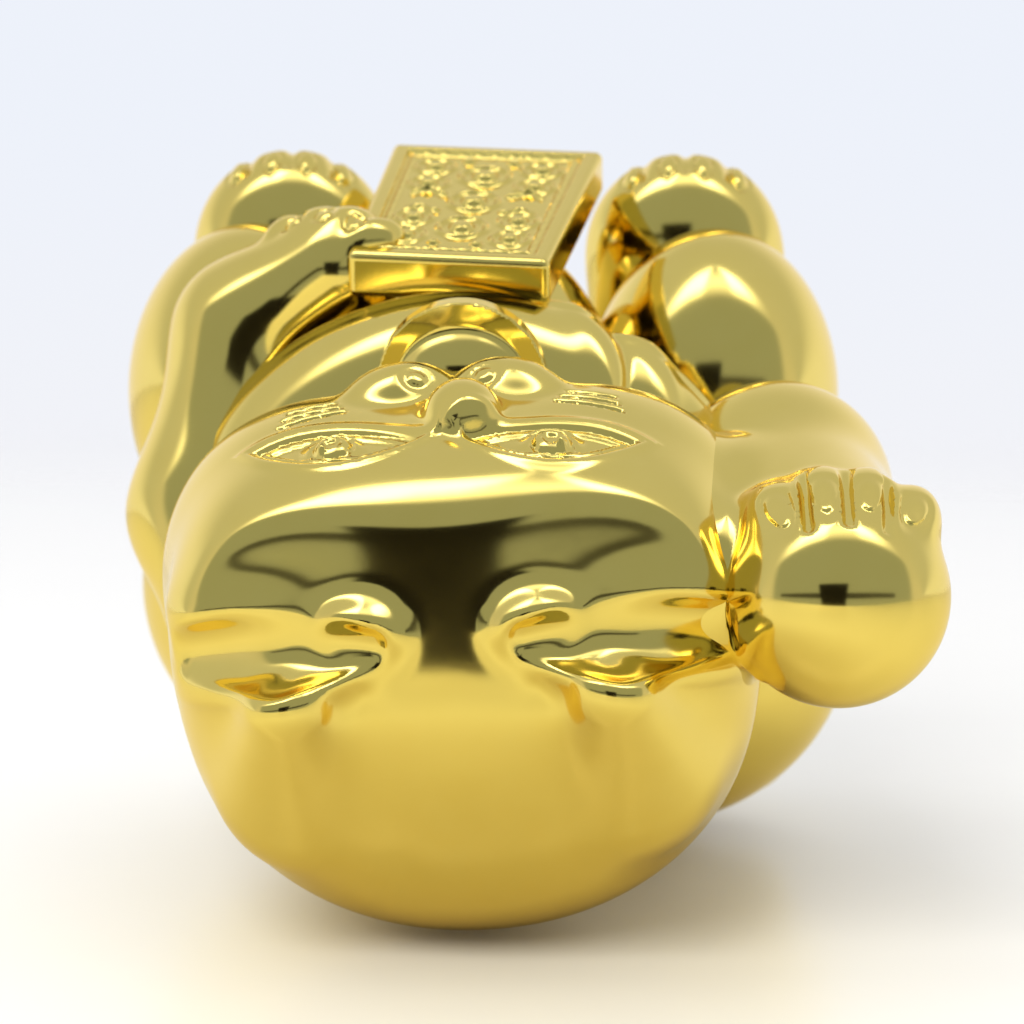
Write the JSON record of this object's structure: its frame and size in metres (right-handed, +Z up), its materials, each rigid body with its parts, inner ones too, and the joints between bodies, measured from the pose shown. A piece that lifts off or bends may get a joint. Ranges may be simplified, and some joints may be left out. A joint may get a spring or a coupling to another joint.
{
  "type": "beckoning cat money bank",
  "caption": "Seated beckoning cat figure in gold plated ceramic, one paw raised and one on a belly tablet, with a coin slot in the back and a pull-out base plug.",
  "frame": {"origin": "On the ground plane under the base pads, at the middle of the whole cat's footprint.", "axes": "+Z up; the cat sits upright and faces -Y; its own right side, with the raised paw, is -X."},
  "size_m": [0.154, 0.1368, 0.175],
  "materials": {
    "gold_ceramic": "mirror-bright gold plating over slip-cast ceramic",
    "plug_rubber": "matt off-white moulded rubber",
    "pad_rubber": "matt dark anti-slip rubber"
  },
  "bodies": {
    "cat": {"torso_shell": "gold_ceramic", "head_shell": "gold_ceramic", "bib": "gold_ceramic", "bell": "gold_ceramic", "raised_arm": "gold_ceramic", "plaque_arm": "gold_ceramic", "right_thigh": "gold_ceramic", "left_thigh": "gold_ceramic", "right_foot": "gold_ceramic", "left_foot": "gold_ceramic", "tail": "gold_ceramic", "plaque": "gold_ceramic", "base_pads": "pad_rubber"},
    "plug": {"base_plug": "plug_rubber"}
  },
  "joints": [
    {"name": "plug_pull", "type": "slide", "parent": "cat", "child": "plug", "axis": [0, 0, -1], "range_m": [0, 0.03]}
  ]
}
